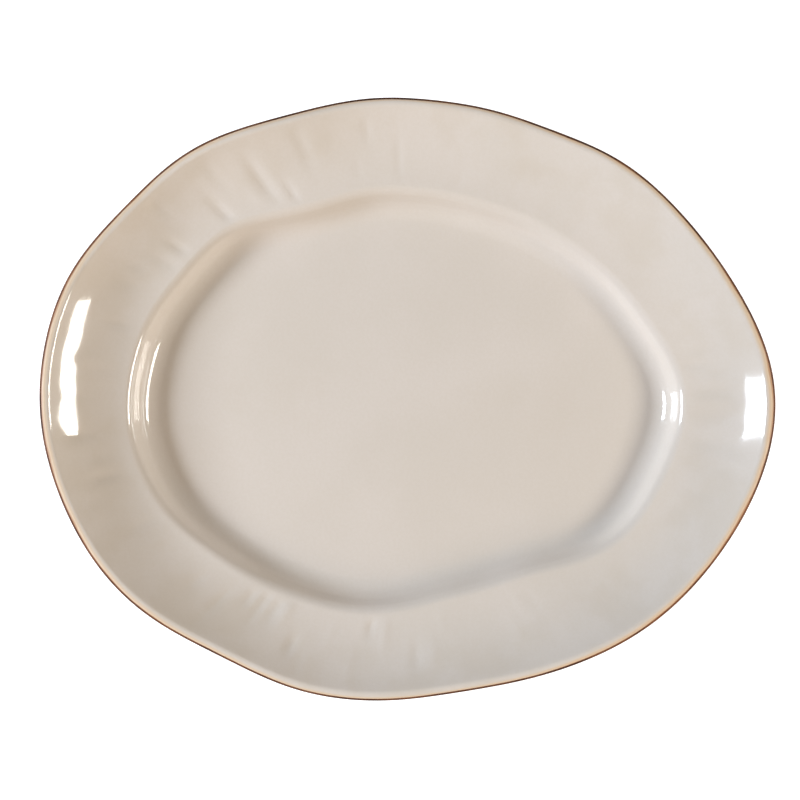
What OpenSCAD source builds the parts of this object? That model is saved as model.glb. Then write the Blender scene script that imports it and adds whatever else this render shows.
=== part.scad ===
// Hand-formed oval serving platter in glazed stoneware.
// +Z up, +X along the length, millimetres. The origin is the centre of the
// platter's outline on the table, under the foot ring.

/* [Size] */
// Rim to rim along X
length = 406;
// Thickness of the wall, both glazes counted
wall = 6;
// Height of the eating surface above the table
floor_z = 11;

/* [Foot] */
foot_height = 5.5;
foot_width = 6;
// How far in from the shoulder the foot ring's outer wall stands
foot_inset = 16;

/* [Glaze] */
glaze = 0.5;

/* [Rim] */
// Width of the bare iron-brown band round the lip
band = 1.1;
// Depth of the lip where the iron band starts
lip = 4;
// How far in from the lip the flange starts to roll over
roll = 5.2;

/* [Well] */
// Slope of the well's wall, in degrees
steep = 60;
// Radius of the hollow at the foot of the wall, and of the shoulder above it
hollow = 14;
shoulder = 9;
// Length in plan of the straight part between them
straight = 2.2;

/* [Smoothness] */
columns = 96;

/* [Hidden] */

// The hand-drawn curves of the form, as distances from the middle, every 10
// degrees anticlockwise from +X.
rim_r = [202.5, 198, 190.5, 184.5, 180, 175.5, 169.5, 167, 166, 166.5, 168, 169.5,
         174.5, 182, 186.5, 192, 199.5, 202.5, 203.5, 201.5, 198, 193.5, 186.5, 178,
         173.5, 171.5, 168.5, 165.5, 164, 166.5, 171.5, 178, 184.5, 190, 195.5, 200.5];
// Shoulder, where the flange turns down into the well.
shoulder_r = [155, 149.5, 141, 135, 129, 124.5, 121, 118.5, 118, 118.5, 120, 120.5,
              124, 133.5, 141.5, 145, 151.5, 155.5, 158, 157, 153, 146.5, 138.5, 133,
              128, 125, 121.5, 117.5, 114, 114.5, 117, 124.5, 136.5, 144.5, 148.5, 152.5];
// Slope of the flange at the shoulder and at the lip, in degrees, and how late
// it steepens, every 30 degrees: the potter lifted the left end most.
slope_in = [10, 9, 8, 7, 8, 5, 7, 9, 10, 9, 8, 9];
slope_out = [38, 33, 31, 32, 38, 40, 39, 38.5, 41, 42, 40, 38];
late = [1, 1.2, 1.4, 1.3, 1.3, 1.4, 0.85, 0.95, 1.4, 1.6, 1.5, 1.2];

// Cross-section of the well's wall: a hollow arc, a straight and a shoulder arc,
// as [distance in from the shoulder, height above the floor].
shoulder_slope = 15;
wall_width = hollow * sin(steep) + straight + shoulder * (sin(steep) - sin(shoulder_slope));
hollow_top = hollow * (1 - cos(steep)) + straight * tan(steep);
wall_shape = concat(
    [for (t = [0, 15, 30, 45, steep]) [wall_width - hollow * sin(t), hollow * (1 - cos(t))]],
    [for (t = [steep, 45, 30, shoulder_slope])
        [shoulder * (sin(t) - sin(shoulder_slope)), hollow_top + shoulder * (cos(t) - cos(steep))]]);
// Stations across the flange, from the shoulder to where the lip rolls over.
flange_at = [0.12, 0.32, 0.52, 0.7, 0.86, 1];

// Closed smooth curve through evenly spaced values.
function around(v, a) =
    let (n = len(v), t = a / 360 * n, i = floor(t), f = t - i,
         p0 = v[(i + n - 1) % n], p1 = v[i % n], p2 = v[(i + 1) % n], p3 = v[(i + 2) % n])
    p1 + 0.5 * f * (p2 - p0 + f * (2 * p0 - 5 * p1 + 4 * p2 - p3
                                   + f * (3 * (p1 - p2) + p3 - p0)));

angles = [for (i = [0:columns - 1]) i * 360 / columns];
rim_x = [for (a = angles) around(rim_r, a) * cos(a)];
rim_y = [for (a = angles) around(rim_r, a) * sin(a)];
size = length / (max(rim_x) - min(rim_x));
middle = [(max(rim_x) + min(rim_x)) / 2, (max(rim_y) + min(rim_y)) / 2] * size;

function R(a) = around(rim_r, a) * size;
function C(a) = around(shoulder_r, a) * size;
shoulder_z = floor_z + wall_shape[len(wall_shape) - 1][1];

// Height of the face on the flange, at s from the shoulder to the roll.
function flange_z(a, s) =
    let (t0 = tan(around(slope_in, a)), t1 = tan(around(slope_out, a)), p = around(late, a) + 1)
    shoulder_z + (R(a) - roll - C(a)) * (t0 * s + (t1 - t0) * pow(s, p) / p);

// The face, from the edge of the flat floor out to the iron band: [r, z].
function face(a) = concat(
    [for (w = wall_shape) [C(a) - w[0], floor_z + w[1]]],
    [for (s = flange_at) [C(a) + (R(a) - roll - C(a)) * s, flange_z(a, s)]],
    [[R(a) - 3.2, flange_z(a, 1) + 0.5], [R(a) - band, flange_z(a, 1)]]);

// The underside of the back glaze, from the foot ring out to the iron band.
// It swells outwards under the steep wall, so the clay stays as thick there.
function back(a) = concat(
    [[C(a) - foot_inset, foot_height - glaze]],
    [for (w = wall_shape) if (w[0] < foot_inset - 1)
        [C(a) - w[0] + 2.5 * sin(180 * w[0] / foot_inset), floor_z + w[1] - wall]],
    [for (s = flange_at) [C(a) + (R(a) - roll - C(a)) * s, flange_z(a, s) - wall]],
    [[R(a) - band, flange_z(a, 1) - lip]]);

function lift(section, dz) = [for (p = section) [p[0], p[1] + dz]];
function flip(v) = [for (i = [len(v) - 1:-1:0]) v[i]];
function at(a, p) = [p[0] * cos(a) - middle[0], p[0] * sin(a) - middle[1], p[1]];

// A solid from one section per column, running anticlockwise in the (r, z)
// half plane. An open section is closed across the middle at both its ends,
// and a closed one makes a hoop.
module turned(sections, hoop = false) {
    n = len(sections);
    m = len(sections[0]);
    points = [for (i = [0:n - 1]) for (p = sections[i]) at(angles[i], p)];
    outward = [for (k = [0:m - 1])
        let (p = sections[0][k], q = sections[0][(k + 1) % m])
        abs(p[0] - q[0]) > 0.0001 ? q[0] > p[0] : q[1] > p[1]];
    sides = [for (i = [0:n - 1]) for (k = [0:m - (hoop ? 1 : 2)])
        let (j = (i + 1) % n, l = (k + 1) % m,
             a = i * m + k, b = j * m + k, c = j * m + l, d = i * m + l)
        each (outward[k] ? [[a, d, c], [a, c, b]] : [[a, d, b], [b, d, c]])];
    caps = hoop ? [] : [[for (i = [0:n - 1]) i * m],
                        [for (i = [n - 1:-1:0]) i * m + m - 1]];
    polyhedron(points, concat(sides, caps), convexity = 6);
}

function outline(inset) =
    [for (a = angles) [(C(a) - inset) * cos(a) - middle[0], (C(a) - inset) * sin(a) - middle[1]]];

// Fired clay between the two glazes: flat under the floor, where the foot is.
module stoneware_body() {
    color([0.72, 0.58, 0.45])
    turned([for (a = angles) concat(lift(back(a), glaze), flip(lift(face(a), -glaze)))]);
}

// The bare ground ring that the platter stands on.
module foot_ring() {
    outer = outline(foot_inset);
    inner = outline(foot_inset + foot_width);
    color([0.78, 0.68, 0.56])
    linear_extrude(foot_height)
    polygon(concat(outer, inner),
            [[for (i = [0:columns - 1]) i], [for (i = [0:columns - 1]) columns + i]]);
}

// The coat over the whole eating side.
module face_glaze() {
    color([0.85, 0.81, 0.76])
    turned([for (a = angles) concat(lift(face(a), -glaze), flip(face(a)))]);
}

// The coat on the outside, from the foot ring to the lip.
module back_glaze() {
    color([0.84, 0.80, 0.74])
    turned([for (a = angles) concat(back(a), flip(lift(back(a), glaze)))], hoop = true);
}

// The coat inside the foot ring.
module foot_well_glaze() {
    color([0.84, 0.80, 0.74])
    translate([0, 0, foot_height - glaze])
    linear_extrude(glaze)
    polygon(outline(foot_inset + foot_width));
}

// The iron-brown band that rounds off the lip.
module rim_band() {
    color([0.38, 0.22, 0.14])
    turned([for (a = angles)
        let (z = flange_z(a, 1), r = R(a) - band)
        [[r, z - lip], [r + band * 0.72, z - lip * 0.86], [r + band, z - lip * 0.55],
         [r + band * 0.92, z - lip * 0.26], [r + band * 0.5, z - lip * 0.05],
         [r, z], [r, z - glaze], [r, z - lip + glaze]]], hoop = true);
}

stoneware_body();
foot_ring();
face_glaze();
back_glaze();
foot_well_glaze();
rim_band();
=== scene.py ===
"""Hand-formed oval serving platter in glazed stoneware, with a studio stage round it."""

import math
import random

import bpy
import numpy as np
from bpy.props import (
    FloatProperty,
    FloatVectorProperty,
    IntProperty,
    PointerProperty,
)
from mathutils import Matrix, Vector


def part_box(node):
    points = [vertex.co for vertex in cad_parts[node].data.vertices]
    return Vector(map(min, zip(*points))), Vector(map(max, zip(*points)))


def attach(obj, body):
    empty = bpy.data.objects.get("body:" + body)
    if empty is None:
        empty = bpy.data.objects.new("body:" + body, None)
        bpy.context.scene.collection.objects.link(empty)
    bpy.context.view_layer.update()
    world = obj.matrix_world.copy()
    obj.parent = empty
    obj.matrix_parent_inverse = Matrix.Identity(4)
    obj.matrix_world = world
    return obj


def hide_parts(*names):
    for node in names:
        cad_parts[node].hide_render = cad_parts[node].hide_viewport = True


bl_info = {
    "name": "Oval Serving Platter",
    "version": (1, 0, 0),
    "blender": (4, 5, 0),
    "location": "View3D > Sidebar > Platter",
    "description": "Builds a glazed stoneware platter piece by piece on its solid model",
    "category": "Object",
}

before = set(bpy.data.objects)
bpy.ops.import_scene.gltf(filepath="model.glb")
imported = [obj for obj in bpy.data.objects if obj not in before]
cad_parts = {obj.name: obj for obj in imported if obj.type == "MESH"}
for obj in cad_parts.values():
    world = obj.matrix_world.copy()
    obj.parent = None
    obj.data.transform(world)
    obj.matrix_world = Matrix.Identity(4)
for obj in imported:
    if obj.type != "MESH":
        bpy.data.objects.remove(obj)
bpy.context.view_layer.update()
MM = 0.001

# Sizes that the solid model was made with, in millimetres and degrees.
SOLID_COLUMNS = 96  # sections round the platter
STATION_GAP = 0.5  # the stations of a section are further apart than this
SHOULDER = 8  # the face's section has eight stations in the well before the shoulder
FLANGE_AT = [0, 0.12, 0.32, 0.52, 0.7, 0.86, 1]  # shares of the flange with a station
ROLL = 5.2  # from the lip in to the last of those stations
WALL = 6.0  # thickness of the platter, both glazes counted
STEEP, SHOULDER_SLOPE = 60, 15  # slopes of the well's wall and of its shoulder
HOLLOW, STRAIGHT, BEND = 14.0, 2.2, 9.0  # the wall's hollow, straight run and shoulder
FOOT_INSET, FOOT_WIDTH = 16.0, 6.0  # the foot ring, in from the shoulder
FOOT_GLAZE = 0.5
SWELL = 2.5  # how far the back swells out under the steep wall

# The visible skins, in millimetres and shares of the way out.
FLOOR_SHARES = (0.02, 0.3, 0.55, 0.78, 0.93)
FLOOR_EDGE = 31  # in from the shoulder
FLOOR_BY_WALL = [30, 26, 22.5]  # in from the shoulder
FLANGE_STEPS, BACK_STEPS = 55, 27
FACE_ROLL_STEPS, BACK_ROLL_STEPS = 8, 6
BACK_EASE = 0.45  # the last share of the back, where it comes up to the lip
SLOPE_STEP = 0.05  # the last share of the flange, which gives its slope at the lip
FAR = 50.0  # stands for a place too far from the lip to take any of its colour
CLAY_COVER = 1.6  # glaze thicknesses over the clay, which keep the marks off it

# Where the hand worked the rim: (degrees round, spread in degrees, how much).
WORKED = ((0, 14, 0.5), (130, 28, 1.0), (180, 18, 0.8), (248, 32, 1.0))
BARELY_WORKED = 0.16
FLANGE_WIDTH = 46
MARK_FADE_IN, MARK_FADE_OUT = 8, 12  # marks fade over 1/8 and 1/12 of the flange

# A mesh edge that turns by more degrees than this is drawn sharp.
COAT_CREASE, SWEEP_CREASE = 62, 40

TABLE_HALF = 8.0
SENSOR_WIDTH = 36
AIM = (-0.0041, -0.0006)  # what the camera stands over


# ---------------------------------------------------------------- colour and materials


def linear(hex_colour):
    """An sRGB hex colour as linear RGBA."""
    parts = [int(hex_colour[i : i + 2], 16) / 255 for i in (1, 3, 5)]
    lit = [c / 12.92 if c <= 0.04045 else ((c + 0.055) / 1.055) ** 2.4 for c in parts]
    return (*lit, 1.0)


def add(tree, kind, sockets=None, **settings):
    """Adds a node with its options. A socket takes a value or another node's output."""
    made = tree.nodes.new(kind)
    for name, value in settings.items():
        setattr(made, name, value)
    for socket, value in (sockets or {}).items():
        if isinstance(value, bpy.types.NodeSocket):
            tree.links.new(value, made.inputs[socket])
        else:
            made.inputs[socket].default_value = value
    return made


def new_material(name):
    """An empty material and its node tree."""
    material = bpy.data.materials.new(name)
    material.use_nodes = True
    material.node_tree.nodes.clear()
    return material, material.node_tree


def patches(tree, size_mm, low, high, detail=2.0, rough=0.5):
    """Soft-edged patches about size_mm across, which stay put on the piece.

    They are 1 where noise is over high and 0 where it is under low.
    """
    place = add(tree, "ShaderNodeTexCoord")
    noise = add(
        tree,
        "ShaderNodeTexNoise",
        {
            "Vector": place.outputs["Object"],
            "Scale": 1 / (size_mm * MM),
            "Detail": detail,
            "Roughness": rough,
        },
    )
    edged = add(
        tree,
        "ShaderNodeMapRange",
        {"Value": noise.outputs["Fac"], "From Min": low, "From Max": high},
        interpolation_type="SMOOTHSTEP",
    )
    return edged.outputs["Result"]


def cream_glaze(name, colours, on_lip):
    """Cream feldspar glaze, poured over buff stoneware and fired glossy.

    It gives a wet, even gloss over a warm off-white that clouds a little, and it
    thins over the lip, where it dries to satin and the iron wash shows through as tan.
    """
    material, tree = new_material(name)
    place = add(tree, "ShaderNodeTexCoord").outputs["Object"]
    fine = patches(tree, 1.6, 0.3, 0.7)
    speck = add(tree, "ShaderNodeMath", {0: fine, 1: 0.12}, operation="MULTIPLY")
    tints = [
        (patches(tree, 70, 0.35, 0.65, detail=3), colours.glaze_cloud),
        (speck.outputs[0], colours.glaze_speck_and_flange_shade),
    ]
    if on_lip:
        lip = add(tree, "ShaderNodeAttribute", attribute_name="from_lip").outputs["Fac"]
        flange = add(
            tree,
            "ShaderNodeMapRange",
            {"Value": lip, "From Min": 46, "From Max": 28},
            interpolation_type="SMOOTHSTEP",
        )
        # Darker patches, about 26 mm across, mottle the outer flange and fade out toward the
        # shoulder: painted shade that copies the mottled shading of the hand-worked flange.
        thin = add(
            tree,
            "ShaderNodeMath",
            {0: flange.outputs["Result"], 1: patches(tree, 26, 0.42, 0.66, detail=3)},
            operation="MULTIPLY",
        )
        thin = add(
            tree, "ShaderNodeMath", {0: thin.outputs[0], 1: 0.25}, operation="MULTIPLY"
        )
        tints.append((thin.outputs[0], colours.glaze_speck_and_flange_shade))
    cream = colours.glaze
    for amount, tint in tints:
        mixed = add(
            tree, "ShaderNodeMix", {"Factor": amount, 6: cream, 7: tint}, data_type="RGBA"
        )
        cream = mixed.outputs[2]

    # The lip's colours and its satin end at wandering distances from the edge.
    clear = {}
    if on_lip:
        noise = add(
            tree, "ShaderNodeTexNoise", {"Vector": place, "Scale": 1 / (22 * MM), "Detail": 2}
        )
        wander = add(
            tree,
            "ShaderNodeMath",
            {0: noise.outputs["Fac"], 1: 1.6, 2: -0.8},
            operation="MULTIPLY_ADD",
        )
        reach = add(
            tree, "ShaderNodeMath", {0: lip, 1: wander.outputs[0]}, operation="ADD"
        )
        for part, low, high in (("tan", 1.8, 3.8), ("rust", 1.0, 1.7), ("satin", 1.6, 2.4)):
            past = add(
                tree,
                "ShaderNodeMapRange",
                {"Value": reach.outputs[0], "From Min": low, "From Max": high},
                interpolation_type="SMOOTHSTEP",
            )
            clear[part] = past.outputs["Result"]
        for part, tint in (("tan", colours.lip_tan), ("rust", colours.lip_rust)):
            mixed = add(
                tree,
                "ShaderNodeMix",
                {"Factor": clear[part], 6: tint, 7: cream},
                data_type="RGBA",
            )
            cream = mixed.outputs[2]

    swells = add(
        tree, "ShaderNodeTexNoise", {"Vector": place, "Scale": 1 / (9 * MM), "Detail": 2}
    )
    grain = add(
        tree,
        "ShaderNodeBump",
        {"Strength": 0.05, "Distance": 0.0004, "Height": swells.outputs["Fac"]},
    )
    wet = {"Roughness": 0.09, "Coat Weight": 0.25}
    shader = add(
        tree,
        "ShaderNodeBsdfPrincipled",
        {
            "Base Color": cream,
            "Normal": grain.outputs["Normal"],
            "IOR": 1.5,
            "Coat Roughness": 0.03,
            **wet,
        },
    )
    if on_lip:
        for socket, dry in (("Roughness", 0.5), ("Coat Weight", 0.0)):
            gloss = add(
                tree,
                "ShaderNodeMapRange",
                {"Value": clear["satin"], "To Min": dry, "To Max": wet[socket]},
            )
            tree.links.new(gloss.outputs["Result"], shader.inputs[socket])
    add(tree, "ShaderNodeOutputMaterial", {"Surface": shader.outputs[0]})
    return material


def iron_wash(name, colours):
    """Iron-oxide wash brushed on the lip and half fluxed by the glaze over it.

    It gives a dark red-brown line, satin rather than glossy, lighter where the
    brush left less.
    """
    material, tree = new_material(name)
    brushed = add(
        tree,
        "ShaderNodeMix",
        {
            "Factor": patches(tree, 26, 0.35, 0.68, detail=4, rough=0.6),
            6: colours.iron_dark,
            7: colours.iron_light,
        },
        data_type="RGBA",
    )
    shader = add(
        tree,
        "ShaderNodeBsdfPrincipled",
        {
            "Base Color": brushed.outputs[2],
            "Roughness": 0.6,
            "IOR": 1.4,
            "Specular IOR Level": 0.3,
        },
    )
    add(tree, "ShaderNodeOutputMaterial", {"Surface": shader.outputs[0]})
    return material


def bare_clay(name, colours, grit_mm):
    """Unglazed fired stoneware, wiped with a sponge before the kiln.

    It gives a dry, matte buff with dark grit and a sandy touch.
    """
    material, tree = new_material(name)
    toasted = add(
        tree,
        "ShaderNodeMix",
        {
            "Factor": patches(tree, 40, 0.35, 0.7),
            6: colours.clay_light,
            7: colours.clay_dark,
        },
        data_type="RGBA",
    )
    grit = patches(tree, grit_mm, 0.52, 0.66, detail=3, rough=0.7)
    fleck = add(tree, "ShaderNodeMath", {0: grit, 1: 0.5}, operation="MULTIPLY")
    buff = add(
        tree,
        "ShaderNodeMix",
        {"Factor": fleck.outputs[0], 6: toasted.outputs[2], 7: linear("#6B5340")},
        data_type="RGBA",
    )
    place = add(tree, "ShaderNodeTexCoord")
    grains = add(
        tree,
        "ShaderNodeTexNoise",
        {
            "Vector": place.outputs["Object"],
            "Scale": 1 / (grit_mm * MM),
            "Detail": 4,
            "Roughness": 0.7,
        },
    )
    sandy = add(
        tree,
        "ShaderNodeBump",
        {"Strength": 0.35, "Distance": 0.0003, "Height": grains.outputs["Fac"]},
    )
    shader = add(
        tree,
        "ShaderNodeBsdfPrincipled",
        {
            "Base Color": buff.outputs[2],
            "Normal": sandy.outputs["Normal"],
            "Roughness": 0.88,
            "IOR": 1.45,
        },
    )
    add(tree, "ShaderNodeOutputMaterial", {"Surface": shader.outputs[0]})
    return material


FINISHES = {
    "cream_feldspar_glaze": (cream_glaze, {"on_lip": True}),
    "cream_foot_glaze": (cream_glaze, {"on_lip": False}),
    "iron_oxide_wash": (iron_wash, {}),
    "wiped_stoneware": (bare_clay, {"grit_mm": 0.9}),
    "fired_stoneware": (bare_clay, {"grit_mm": 1.4}),
}


def finish(context, name):
    """The named material, made the first time that a piece asks for it."""
    maker, options = FINISHES[name]
    made = bpy.data.materials.get(name)
    return made or maker(name, context.scene.platter_colours, **options)


# ---------------------------------------------------------------- the form, read off the solids


def smooth_round(values, count, harmonics=18):
    """Values evenly spaced round the platter, made smooth and sampled count times."""
    waves = np.fft.rfft(np.asarray(values), axis=0)
    waves[harmonics + 1 :] = 0
    padded = np.zeros((count // 2 + 1,) + waves.shape[1:], complex)
    padded[: harmonics + 1] = waves[: harmonics + 1]
    return np.fft.irfft(padded, n=count, axis=0) * (count / len(values))


def curve_through(xs, ys, at):
    """A natural cubic spline through (xs, ys), where each column of ys is its own curve."""
    xs, ys, at = np.asarray(xs, float), np.asarray(ys, float), np.asarray(at, float)
    n = len(xs)
    h = np.diff(xs)
    system = np.eye(n)
    right = np.zeros((n,) + ys.shape[1:])
    for i in range(1, n - 1):
        system[i, i - 1 : i + 2] = h[i - 1], 2 * (h[i - 1] + h[i]), h[i]
        right[i] = 6 * ((ys[i + 1] - ys[i]) / h[i] - (ys[i] - ys[i - 1]) / h[i - 1])
    bend = np.linalg.solve(system, right.reshape(n, -1)).reshape(right.shape)
    i = np.clip(np.searchsorted(xs, at) - 1, 0, n - 2)
    shape = (-1,) + (1,) * (ys.ndim - 1)
    a = ((xs[i + 1] - at) / h[i]).reshape(shape)
    b = 1 - a
    hh = (h[i] ** 2 / 6).reshape(shape)
    return a * ys[i] + b * ys[i + 1] + ((a**3 - a) * bend[i] + (b**3 - b) * bend[i + 1]) * hh


def vertices(node):
    """A solid's vertices in millimetres."""
    return np.array([v.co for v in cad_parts[node].data.vertices]) / MM


def solid_column(offsets):
    """Which of the solid's sections each point lies on, by its way from the middle."""
    turn = np.arctan2(offsets[:, 1], offsets[:, 0])
    return np.rint(turn / (2 * math.pi) * SOLID_COLUMNS).astype(int) % SOLID_COLUMNS


class Form:
    """The platter's curves in millimetres, read off the solid model."""

    def __init__(self, columns):
        self.columns = columns
        self.turn = np.arange(columns) * 2 * math.pi / columns

        # The planes of the sections all cross at the middle that they were drawn from.
        face = np.unique(vertices("face_glaze").round(3), axis=0)
        column = solid_column(face)
        across = column * 2 * math.pi / SOLID_COLUMNS
        normal = np.stack([-np.sin(across), np.cos(across)], 1)
        along = (normal * face[:, :2]).sum(1)
        self.middle = np.linalg.lstsq(normal, along, rcond=None)[0]

        reach = np.hypot(*(face[:, :2] - self.middle).T)
        radii, heights = [], []
        for c in range(SOLID_COLUMNS):
            mine = column == c
            order = np.argsort(reach[mine])
            far, high = reach[mine][order], face[mine, 2][order]
            gaps = np.flatnonzero(np.diff(far) > STATION_GAP) + 1
            stations = np.split(np.arange(len(far)), gaps)
            radii.append([far[k].mean() for k in stations])
            heights.append([high[k].max() for k in stations])
        radii, heights = np.array(radii), np.array(heights)

        band = vertices("rim_band")[:, :2] - self.middle
        far, column = np.hypot(*band.T), solid_column(band)
        rim = [far[column == c].max() for c in range(SOLID_COLUMNS)]

        flange = heights[:, SHOULDER : SHOULDER + len(FLANGE_AT)]
        self.floor_z = heights[:, 0].min()
        self.foot_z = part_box("foot_ring")[1].z / MM
        self.deep = heights[:, SHOULDER].mean() - self.floor_z
        self.flange_z = smooth_round(flange, columns).T
        self.rim = self.plan(smooth_round(rim, columns))
        self.shoulder = self.plan(smooth_round(radii[:, SHOULDER], columns))
        self.rim_out = self.outward(self.rim)
        self.shoulder_out = self.outward(self.shoulder)

    def plan(self, radius):
        """Points round the platter at those distances from its middle."""
        spokes = np.stack([np.cos(self.turn), np.sin(self.turn)], 1)
        return self.middle + spokes * radius[:, None]

    def outward(self, line):
        """Unit normals of a closed line in plan, pointing out."""
        along = np.roll(line, -1, 0) - np.roll(line, 1, 0)
        across = np.stack([along[:, 1], -along[:, 0]], 1)
        return across / np.linalg.norm(across, axis=1)[:, None]

    def flange_height(self, share):
        """Height of the flange in each column, at that column's share of the way out."""
        each = np.arange(self.columns)
        return curve_through(FLANGE_AT, self.flange_z, share)[each, each]

    def wash(self):
        """How far in the iron wash was brushed round the lip: widest at the two ends."""
        return 1 + 0.3 * np.cos(2 * self.turn)

    def ring(self, plan, height):
        """A ring of 3D points in metres."""
        return np.column_stack([plan, np.broadcast_to(height, (self.columns,))]) * MM


class Lip:
    """The rounded lip: an upright half ellipse that the flange runs into on both sides."""

    def __init__(self, form, sizes):
        self.form = form
        self.wide, self.tall = sizes.lip_depth / MM, sizes.lip_height / MM
        self.stop = math.acos(1 - sizes.band_width / MM / self.wide)
        self.flange = np.linalg.norm(form.rim - form.shoulder, axis=1) - ROLL
        before, end = curve_through(FLANGE_AT, form.flange_z, [1 - SLOPE_STEP, 1.0])
        self.slope = (end - before) / (SLOPE_STEP * self.flange)
        self.meet = np.arctan2(1.0, -self.slope * self.wide / self.tall)
        self.inset = self.inset_at(self.meet)
        self.share = 1 - (self.inset - ROLL) / self.flange
        self.centre = form.flange_height(self.share) - self.tall * np.sin(self.meet)

    def inset_at(self, angle):
        """How far in from the lip an angle of the ellipse lies."""
        return self.wide * (1 - np.cos(angle))

    def height_at(self, angle):
        """How high an angle of the ellipse lies."""
        return self.centre + self.tall * np.sin(angle)

    def roll(self, start, stop, steps):
        """Rings round the lip from one angle to another, and how far in they lie."""
        rings, insets = [], []
        for t in np.linspace(0, 1, steps + 1)[1:]:
            angle = start + (stop - start) * t
            inset = self.inset_at(angle)
            plan = self.form.rim - self.form.rim_out * inset[:, None]
            rings.append(self.form.ring(plan, self.height_at(angle)))
            insets.append(inset)
        return rings, insets


def wall_section(form):
    """The well's wall as (distances in from the shoulder, heights above the floor).

    A hollow runs up to a steep straight, and a shoulder rounds over onto the flange.
    """
    steep, top = math.radians(STEEP), math.radians(SHOULDER_SLOPE)
    width = HOLLOW * math.sin(steep) + STRAIGHT + BEND * (math.sin(steep) - math.sin(top))
    low, high = np.linspace(0, steep, 18), np.linspace(steep, top, 14)
    inward = [*(width - HOLLOW * np.sin(low)), *(BEND * (np.sin(high) - math.sin(top)))]
    hollow = HOLLOW * (1 - np.cos(low))
    straight_top = hollow[-1] + STRAIGHT * math.tan(steep)
    rise = np.array([*hollow, *(straight_top + BEND * (np.cos(high) - math.cos(steep)))])
    rise = rise * form.deep / rise[-1]
    return [*FLOOR_BY_WALL, *inward], [0] * len(FLOOR_BY_WALL) + [*rise]


def finger_marks(sizes):
    """Shallow dents that the potter's fingertips left across the flange.

    They are deepest at the upper and lower left, where the hand turned the rim.
    Each is (angle in radians, share out, width in degrees, length in millimetres,
    depth as a share of the deepest).
    """
    maker = random.Random(sizes.mark_seed)
    marks = []
    angle = 0.0
    while angle < 360:
        worked = BARELY_WORKED
        for held, spread, much in WORKED:
            away = (angle - held + 180) % 360 - 180
            worked += much * math.exp(-((away / spread) ** 2))
        marks.append(
            (
                math.radians(angle),
                maker.uniform(0.15, 0.85),
                maker.uniform(2.2, 4.0),
                maker.uniform(7, 14),
                maker.uniform(-0.5, 1.0) * worked,
            )
        )
        angle += maker.uniform(2.6, 4.4)
    return marks


def dents(form, sizes, out):
    """Depth of the marks in millimetres, at every column and share out of the flange."""
    depth = np.zeros((form.columns, len(out)))
    for turn, reach, wide, long, deep in finger_marks(sizes):
        away = (form.turn - turn + math.pi) % (2 * math.pi) - math.pi
        along = np.exp(-((away * 180 / wide) ** 2))
        across = np.exp(-(((out - reach) * FLANGE_WIDTH / long) ** 2))
        depth += sizes.mark_depth / MM * deep * along[:, None] * across[None, :]
    return depth * np.clip(out * MARK_FADE_IN, 0, 1) * np.clip((1 - out) * MARK_FADE_OUT, 0, 1)


def face_rings(form, sizes):
    """The eating surface from the middle of the floor out to the iron band.

    It comes as rings of points, and how far in from the lip each point lies.
    """
    lip = Lip(form, sizes)
    floor = form.shoulder - form.shoulder_out * FLOOR_EDGE - form.middle
    rings = [form.ring(form.middle + floor * share, form.floor_z) for share in FLOOR_SHARES]
    for inset, rise in zip(*wall_section(form)):
        plan = form.shoulder - form.shoulder_out * inset
        rings.append(form.ring(plan, form.floor_z + rise))
    from_lip = [np.full(form.columns, FAR)] * len(rings)

    shares = np.linspace(0, 1, FLANGE_STEPS + 1)[1:]
    across = form.rim - form.rim_out * lip.inset[:, None] - form.shoulder
    for share, depth in zip(shares, dents(form, sizes, shares).T):
        plan = form.shoulder + across * share
        rings.append(form.ring(plan, form.flange_height(share * lip.share) - depth))
        from_lip.append(np.linalg.norm(form.rim - plan, axis=1))

    roll, insets = lip.roll(lip.meet, lip.stop, FACE_ROLL_STEPS)
    return rings + roll, from_lip + insets


def back_rings(form, sizes):
    """The underside from the foot ring out to the iron band, in the same two parts."""
    lip = Lip(form, sizes)
    foot = form.shoulder - form.shoulder_out * FOOT_INSET
    rings = [form.ring(foot, form.foot_z - FOOT_GLAZE)]
    for inset, rise in zip(*wall_section(form)):
        if inset < FOOT_INSET - 1:
            swell = SWELL * math.sin(math.pi * inset / FOOT_INSET)
            plan = form.shoulder - form.shoulder_out * (inset - swell)
            rings.append(form.ring(plan, form.floor_z + rise - WALL))
    from_lip = [np.full(form.columns, FAR)] * len(rings)

    under = lip.meet - math.pi
    reach = lip.flange + ROLL - lip.inset_at(under)
    across = form.rim - form.rim_out * lip.inset_at(under)[:, None] - form.shoulder

    def one_wall_down(share):
        """Height of the flange less the wall, carried on at its slope past the roll."""
        level = form.flange_height(np.minimum(share, lip.share)) - WALL
        return level + lip.slope * np.maximum(share - lip.share, 0) * lip.flange

    lift = lip.height_at(under) - one_wall_down(reach / lip.flange)
    for share in np.linspace(0, 1, BACK_STEPS + 1)[1:]:
        plan = form.shoulder + across * share
        up = np.clip((share - (1 - BACK_EASE)) / BACK_EASE, 0, 1)
        height = one_wall_down(share * reach / lip.flange) + lift * up**2 * (3 - 2 * up)
        rings.append(form.ring(plan, height))
        from_lip.append(np.linalg.norm(form.rim - plan, axis=1))

    roll, insets = lip.roll(under, -lip.stop, BACK_ROLL_STEPS)
    return rings + roll, from_lip + insets


# ---------------------------------------------------------------- mesh making


def new_object(name, data):
    """An object in the scene, at the origin."""
    made = bpy.data.objects.new(name, data)
    bpy.context.scene.collection.objects.link(made)
    return made


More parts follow.
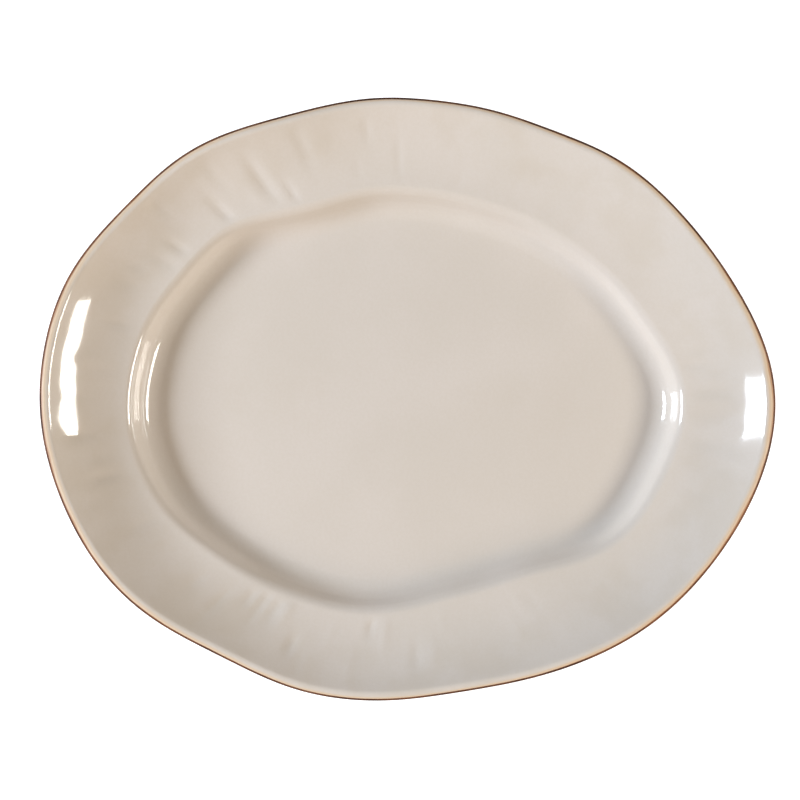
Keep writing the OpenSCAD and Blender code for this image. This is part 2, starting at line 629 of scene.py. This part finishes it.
def skin(name, rings, hoop=False, from_lip=None):
    """A closed mesh through rings of points, which runs outwards and then back.

    With hoop the last ring joins the first. Otherwise both ends are closed flat.
    """
    count = len(rings[0])
    faces = []
    for k in range(len(rings) if hoop else len(rings) - 1):
        a, b = k * count, (k + 1) % len(rings) * count
        for i in range(count):
            j = (i + 1) % count
            faces.append((a + i, a + j, b + j, b + i))
    if not hoop:
        faces.append(tuple(range(count - 1, -1, -1)))
        start = (len(rings) - 1) * count
        faces.append(tuple(range(start, start + count)))
    mesh = bpy.data.meshes.new(name)
    mesh.from_pydata(np.concatenate(rings).tolist(), [], faces)
    mesh.shade_smooth()
    mesh.set_sharp_from_angle(angle=math.radians(COAT_CREASE))
    if from_lip is not None:
        values = mesh.attributes.new("from_lip", "FLOAT", "POINT")
        values.data.foreach_set("value", np.concatenate(from_lip).astype(np.float32))
    return new_object(name, mesh)


def below(rings, drop):
    """The same rings, lower by drop metres."""
    return [r - np.array([0, 0, drop]) for r in rings]


def settle(made, material, slot, *nodes):
    """Gives a finished piece its material and its place on the frame."""
    made.data.materials.clear()
    made.data.materials.append(material)
    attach(made, "root")
    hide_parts(*nodes)
    return made


# ---------------------------------------------------------------- geometry nodes


def sweep_tree(name, closed_arc):
    """A node tree that runs a small section along a closed path.

    closed_arc makes the outer part of an ellipse, closed by its chord, for the
    lip. Otherwise the section is a rounded rectangle, for the foot.
    """
    tree = bpy.data.node_groups.new(name, "GeometryNodeTree")
    sockets = tree.interface
    sockets.new_socket("Geometry", in_out="INPUT", socket_type="NodeSocketGeometry")
    for label in ("Width", "Height", "Rounding"):
        sockets.new_socket(label, in_out="INPUT", socket_type="NodeSocketFloat")
    sockets.new_socket("Material", in_out="INPUT", socket_type="NodeSocketMaterial")
    sockets.new_socket("Geometry", in_out="OUTPUT", socket_type="NodeSocketGeometry")
    inputs = add(tree, "NodeGroupInput").outputs
    path = add(
        tree, "GeometryNodeSetCurveNormal", {"Curve": inputs["Geometry"]}, mode="Z_UP"
    )
    if closed_arc:
        start = add(
            tree, "ShaderNodeMath", {0: inputs["Rounding"], 1: -1.0}, operation="MULTIPLY"
        )
        sweep = add(
            tree, "ShaderNodeMath", {0: inputs["Rounding"], 1: 2.0}, operation="MULTIPLY"
        )
        arc = add(
            tree,
            "GeometryNodeCurveArc",
            {
                "Resolution": 15,
                "Radius": 1.0,
                "Start Angle": start.outputs[0],
                "Sweep Angle": sweep.outputs[0],
            },
        )
        closed = add(
            tree,
            "GeometryNodeSetSplineCyclic",
            {"Geometry": arc.outputs["Curve"], "Cyclic": True},
        )
        size = add(
            tree,
            "ShaderNodeCombineXYZ",
            {"X": inputs["Width"], "Y": inputs["Height"], "Z": 1.0},
        )
        section = add(
            tree,
            "GeometryNodeTransform",
            {"Geometry": closed.outputs["Geometry"], "Scale": size.outputs[0]},
        )
        profile = section.outputs["Geometry"]
    else:
        section = add(
            tree,
            "GeometryNodeCurvePrimitiveQuadrilateral",
            {"Width": inputs["Width"], "Height": inputs["Height"]},
        )
        rounded = add(
            tree,
            "GeometryNodeFilletCurve",
            {"Curve": section.outputs["Curve"], "Radius": inputs["Rounding"], "Count": 5},
            mode="POLY",
        )
        profile = rounded.outputs["Curve"]
    run = add(
        tree,
        "GeometryNodeCurveToMesh",
        {"Curve": path.outputs["Curve"], "Profile Curve": profile},
    )
    real = add(tree, "GeometryNodeRealizeInstances", {"Geometry": run.outputs["Mesh"]})
    dressed = add(
        tree,
        "GeometryNodeSetMaterial",
        {"Geometry": real.outputs["Geometry"], "Material": inputs["Material"]},
    )
    add(tree, "NodeGroupOutput", {"Geometry": dressed.outputs["Geometry"]})
    return tree


def swept(name, points, tree, **inputs):
    """A plain closed mesh made by running a tree's section along a closed path."""
    curve = bpy.data.curves.new(name + "_path", "CURVE")
    curve.dimensions = "3D"
    spline = curve.splines.new("POLY")
    spline.points.add(len(points) - 1)
    spline.points.foreach_set("co", np.column_stack([points, np.ones(len(points))]).ravel())
    spline.use_cyclic_u = True
    holder = new_object(name + "_path", curve)
    modifier = holder.modifiers.new("sweep", "NODES")
    modifier.node_group = tree
    for item in tree.interface.items_tree:
        if item.in_out == "INPUT" and item.name in inputs:
            modifier[item.identifier] = inputs[item.name]
    graph = bpy.context.evaluated_depsgraph_get()
    mesh = bpy.data.meshes.new_from_object(holder.evaluated_get(graph))
    mesh.name = name
    made = new_object(name, mesh)
    holder.modifiers.clear()
    bpy.data.objects.remove(holder)
    mesh.shade_smooth()
    mesh.set_sharp_from_angle(angle=math.radians(SWEEP_CREASE))
    return made


# ---------------------------------------------------------------- settings


class PlatterSizes(bpy.types.PropertyGroup):
    """Sizes of the visible detail; the form itself comes from the solid model."""

    columns: IntProperty(
        name="Columns", description="Vertices round the platter", default=480, min=96
    )
    glaze: FloatProperty(
        name="Glaze coat", description="Thickness of the glaze", default=0.0005, unit="LENGTH"
    )
    lip_depth: FloatProperty(
        name="Lip depth", description="How far in the lip's roll reaches", default=0.0032,
        unit="LENGTH",
    )
    lip_height: FloatProperty(
        name="Lip half height", description="Half the height of the lip's roll", default=0.0025,
        unit="LENGTH",
    )
    band_width: FloatProperty(
        name="Iron band", description="Width of the iron band in plan", default=0.0012,
        unit="LENGTH",
    )
    mark_depth: FloatProperty(
        name="Finger marks", description="Depth of the deepest finger mark", default=0.0012,
        unit="LENGTH",
    )
    mark_seed: IntProperty(
        name="Mark seed", description="Chooses where the finger marks fall", default=7
    )
    foot_rounding: FloatProperty(
        name="Foot rounding", description="Radius of the foot ring's edges", default=0.0014,
        unit="LENGTH",
    )


class PlatterColours(bpy.types.PropertyGroup):
    """Colours of the fired surfaces."""

    glaze: FloatVectorProperty(
        name="Glaze", description="The glaze where it lies thick", subtype="COLOR", size=4,
        default=linear("#DBD1C8"),
    )
    glaze_cloud: FloatVectorProperty(
        name="Glaze cloud", description="The glaze where it clouds", subtype="COLOR", size=4,
        default=linear("#D8CEC4"),
    )
    # Tints the fine specks over the whole glaze, and the painted shade that mottles the outer
    # flange.
    glaze_speck_and_flange_shade: FloatVectorProperty(
        name="Thin glaze", description="The glaze where the clay tints it", subtype="COLOR",
        size=4, default=linear("#CDBFAD"),
    )
    lip_tan: FloatVectorProperty(
        name="Lip tan", description="Thin glaze over the iron wash", subtype="COLOR", size=4,
        default=linear("#DEC5A9"),
    )
    lip_rust: FloatVectorProperty(
        name="Lip rust", description="The iron wash through the thinnest glaze",
        subtype="COLOR", size=4, default=linear("#BA8C66"),
    )
    iron_dark: FloatVectorProperty(
        name="Dark iron", description="The iron wash where it is thick", subtype="COLOR",
        size=4, default=linear("#4A2A1C"),
    )
    iron_light: FloatVectorProperty(
        name="Light iron", description="The iron wash where it is thin", subtype="COLOR",
        size=4, default=linear("#7A4E34"),
    )
    clay_light: FloatVectorProperty(
        name="Bare clay", description="The wiped foot ring", subtype="COLOR", size=4,
        default=linear("#C9B497"),
    )
    clay_dark: FloatVectorProperty(
        name="Toasted clay", description="Where the kiln toasted the clay", subtype="COLOR",
        size=4, default=linear("#A9896A"),
    )


class StageSettings(bpy.types.PropertyGroup):
    """Camera and light."""

    view_width: FloatProperty(
        name="Picture width", description="Width of the picture at the height of the lip",
        default=0.4406, unit="LENGTH",
    )
    lens: FloatProperty(
        name="Lens", description="Focal length in mm", default=200, unit="CAMERA"
    )
    key_light: FloatProperty(
        name="Key light", description="Radiance of the left softbox", default=49.0
    )
    fill_light: FloatProperty(
        name="Fill light", description="Radiance of the right softbox", default=22.5
    )
    front_light: FloatProperty(
        name="Front light", description="Radiance of the front panel", default=3.0
    )
    low_light: FloatProperty(
        name="Low light", description="Radiance of the low panel on the right", default=8.0
    )
    air_light: FloatProperty(
        name="Air", description="Radiance of the room's own light", default=0.09
    )


# ---------------------------------------------------------------- pieces


class PLATTER_OT_stoneware_body(bpy.types.Operator):
    """Fired clay between the glazes"""

    bl_idname = "platter.stoneware_body"
    bl_label = "Stoneware body"

    def execute(self, context):
        sizes = context.scene.platter_sizes
        form = Form(sizes.columns // 2)
        under = below(back_rings(form, sizes)[0], -sizes.glaze)
        over = below(face_rings(form, sizes)[0], sizes.glaze * CLAY_COVER)
        made = skin("stoneware_clay", [under[0]] + under[2::2] + over[::-3])
        settle(made, finish(context, "fired_stoneware"), "stoneware", "stoneware_body")
        return {"FINISHED"}


class PLATTER_OT_foot_ring(bpy.types.Operator):
    """Bare ground ring that the platter stands on"""

    bl_idname = "platter.foot_ring"
    bl_label = "Foot ring"

    def execute(self, context):
        sizes = context.scene.platter_sizes
        form = Form(sizes.columns)
        plan = form.shoulder - form.shoulder_out * (FOOT_INSET + FOOT_WIDTH / 2)
        clay = finish(context, "wiped_stoneware")
        made = swept(
            "foot_ring_clay",
            form.ring(plan, form.foot_z / 2),
            sweep_tree("foot_sweep", closed_arc=False),
            Material=clay,
            Width=FOOT_WIDTH * MM,
            Height=form.foot_z * MM,
            Rounding=sizes.foot_rounding,
        )
        settle(made, clay, "bare_foot", "foot_ring")
        return {"FINISHED"}


class PLATTER_OT_face_glaze(bpy.types.Operator):
    """Glaze over the whole eating side"""

    bl_idname = "platter.face_glaze"
    bl_label = "Face glaze"

    def execute(self, context):
        sizes = context.scene.platter_sizes
        form = Form(sizes.columns)
        rings, lip = face_rings(form, sizes)
        lip = [inset / form.wash() for inset in lip]
        coat = below(rings, sizes.glaze) + rings[::-1]
        made = skin("face_glaze_coat", coat, from_lip=lip + lip[::-1])
        settle(made, finish(context, "cream_feldspar_glaze"), "face_glaze", "face_glaze")
        return {"FINISHED"}


class PLATTER_OT_back_glaze(bpy.types.Operator):
    """Glaze on the outside, from the foot ring to the lip"""

    bl_idname = "platter.back_glaze"
    bl_label = "Back glaze"

    def execute(self, context):
        sizes = context.scene.platter_sizes
        rings, lip = back_rings(Form(sizes.columns), sizes)
        coat = rings + below(rings, -sizes.glaze)[::-1]
        made = skin("back_glaze_coat", coat, hoop=True, from_lip=lip + lip[::-1])
        settle(made, finish(context, "cream_feldspar_glaze"), "back_glaze", "back_glaze")
        return {"FINISHED"}


class PLATTER_OT_foot_well_glaze(bpy.types.Operator):
    """Glaze inside the foot ring, on the solid model's own plate"""

    bl_idname = "platter.foot_well_glaze"
    bl_label = "Foot well glaze"

    def execute(self, context):
        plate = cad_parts["foot_well_glaze"]
        plate.data.materials.clear()
        plate.data.materials.append(finish(context, "cream_foot_glaze"))
        return {"FINISHED"}


class PLATTER_OT_rim_band(bpy.types.Operator):
    """Iron-brown band that rounds off the lip"""

    bl_idname = "platter.rim_band"
    bl_label = "Rim band"

    def execute(self, context):
        sizes = context.scene.platter_sizes
        form = Form(sizes.columns)
        lip = Lip(form, sizes)
        iron = finish(context, "iron_oxide_wash")
        made = swept(
            "rim_iron_band",
            form.ring(form.rim - form.rim_out * lip.wide, lip.centre),
            sweep_tree("lip_sweep", closed_arc=True),
            Material=iron,
            Width=sizes.lip_depth,
            Height=sizes.lip_height,
            Rounding=lip.stop,
        )
        settle(made, iron, "iron_edge", "rim_band")
        return {"FINISHED"}


# ---------------------------------------------------------------- stage


def white_table():
    """Matt white laminate, large and flat.

    It glows to the camera alone, so it shows an even white and lights nothing.
    """
    mesh = bpy.data.meshes.new("table_top")
    corners = [(-1, -1), (1, -1), (1, 1), (-1, 1)]
    mesh.from_pydata([(x * TABLE_HALF, y * TABLE_HALF, 0) for x, y in corners], [], [range(4)])
    material, tree = new_material("white_table")
    rays = add(tree, "ShaderNodeLightPath")
    glow = add(
        tree, "ShaderNodeMath", {0: rays.outputs["Is Camera Ray"], 1: 0.9}, operation="MULTIPLY"
    )
    shader = add(
        tree,
        "ShaderNodeBsdfPrincipled",
        {
            "Base Color": (0.6, 0.6, 0.6, 1),
            "Roughness": 0.9,
            "Specular IOR Level": 0.1,
            "Emission Color": (1, 1, 1, 1),
            "Emission Strength": glow.outputs[0],
        },
    )
    add(tree, "ShaderNodeOutputMaterial", {"Surface": shader.outputs[0]})
    mesh.materials.append(material)
    return new_object("table_top", mesh)


def softbox(name, azimuth, polar, distance, size, radiance, colour):
    """A rectangular soft light that faces the platter.

    Azimuth is anticlockwise from +X and polar is down from straight above.
    """
    lamp = bpy.data.lights.new(name, "AREA")
    lamp.shape = "RECTANGLE"
    lamp.size, lamp.size_y = size
    lamp.color = colour
    lamp.energy = radiance * math.pi * size[0] * size[1]
    made = new_object(name, lamp)
    a, p = math.radians(azimuth), math.radians(polar)
    made.location = (
        distance * math.cos(a) * math.sin(p),
        distance * math.sin(a) * math.sin(p),
        distance * math.cos(p),
    )
    made.rotation_mode = "QUATERNION"
    made.rotation_quaternion = made.location.to_track_quat("Z", "Y")
    made.visible_camera = False
    return made


def studio_air(radiance):
    """A faint warm light from all round, with a pale backdrop for the camera to see."""
    world = bpy.data.worlds.new("studio_air")
    world.use_nodes = True
    tree = world.node_tree
    tree.nodes.clear()
    rays = add(tree, "ShaderNodeLightPath")
    room = add(
        tree, "ShaderNodeBackground", {"Color": (1.2, 1.0, 0.78, 1), "Strength": radiance}
    )
    backdrop = add(
        tree, "ShaderNodeBackground", {"Color": linear("#F6F5F3"), "Strength": 1.0}
    )
    seen = add(
        tree,
        "ShaderNodeMixShader",
        {0: rays.outputs["Is Camera Ray"], 1: room.outputs[0], 2: backdrop.outputs[0]},
    )
    add(tree, "ShaderNodeOutputWorld", {"Surface": seen.outputs[0]})
    return world


def overhead_camera(stage):
    """A long lens straight above, which the platter nearly fills from side to side."""
    camera = bpy.data.cameras.new("camera")
    camera.lens = stage.lens
    camera.sensor_width = SENSOR_WIDTH
    camera.clip_end = 50
    eye = new_object("camera", camera)
    away = stage.view_width * stage.lens / SENSOR_WIDTH
    eye.location = (*AIM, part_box("rim_band")[1].z + away)
    return eye


class PLATTER_OT_stage(bpy.types.Operator):
    """Pale table, soft lights and the camera"""

    bl_idname = "platter.stage"
    bl_label = "Stage"

    def execute(self, context):
        scene, stage = context.scene, context.scene.platter_stage
        scene.view_settings.view_transform = "Standard"
        scene.view_settings.look = "None"
        white_table()
        key, fill, low = stage.key_light, stage.fill_light, stage.low_light
        softbox("key_softbox", 179, 64, 2.5, (0.78, 0.61), key, (0.89, 1.0, 1.13))
        softbox("fill_softbox", -7, 60, 2.5, (1.11, 0.5), fill, (1.03, 1.0, 0.93))
        softbox("low_right_panel", 0, 85, 2.5, (1.3, 0.4), low, (1.0, 1.0, 0.98))
        softbox("low_left_panel", 180, 85, 2.5, (1.3, 0.4), low / 10, (0.95, 1.0, 1.05))
        front = stage.front_light
        panel = softbox("front_panel", -90, 60, 2.2, (1.4, 0.9), front, (1.2, 1.0, 0.8))
        panel.visible_glossy = False
        scene.world = studio_air(stage.air_light)
        scene.camera = overhead_camera(stage)
        return {"FINISHED"}


class PLATTER_PT_panel(bpy.types.Panel):
    """The platter's pieces and settings"""

    bl_label = "Oval Serving Platter"
    bl_space_type = "VIEW_3D"
    bl_region_type = "UI"
    bl_category = "Platter"

    def draw(self, context):
        column = self.layout.column()
        for piece in PIECES:
            column.operator(piece.bl_idname)
        for group in ("platter_sizes", "platter_colours", "platter_stage"):
            settings = getattr(context.scene, group)
            box = self.layout.box()
            for name in settings.__annotations__:
                box.prop(settings, name)


PIECES = (
    PLATTER_OT_stoneware_body,
    PLATTER_OT_foot_ring,
    PLATTER_OT_face_glaze,
    PLATTER_OT_back_glaze,
    PLATTER_OT_foot_well_glaze,
    PLATTER_OT_rim_band,
    PLATTER_OT_stage,
)
GROUPS = (PlatterSizes, PlatterColours, StageSettings)


def register():
    for made in GROUPS + PIECES + (PLATTER_PT_panel,):
        bpy.utils.register_class(made)
    bpy.types.Scene.platter_sizes = PointerProperty(type=PlatterSizes)
    bpy.types.Scene.platter_colours = PointerProperty(type=PlatterColours)
    bpy.types.Scene.platter_stage = PointerProperty(type=StageSettings)


def unregister():
    del bpy.types.Scene.platter_stage
    del bpy.types.Scene.platter_colours
    del bpy.types.Scene.platter_sizes
    for made in reversed(GROUPS + PIECES + (PLATTER_PT_panel,)):
        bpy.utils.unregister_class(made)


def main():
    register()
    bpy.ops.platter.stoneware_body()
    bpy.ops.platter.foot_ring()
    bpy.ops.platter.face_glaze()
    bpy.ops.platter.back_glaze()
    bpy.ops.platter.foot_well_glaze()
    bpy.ops.platter.rim_band()
    bpy.ops.platter.stage()


if __name__ == "__main__":
    main()
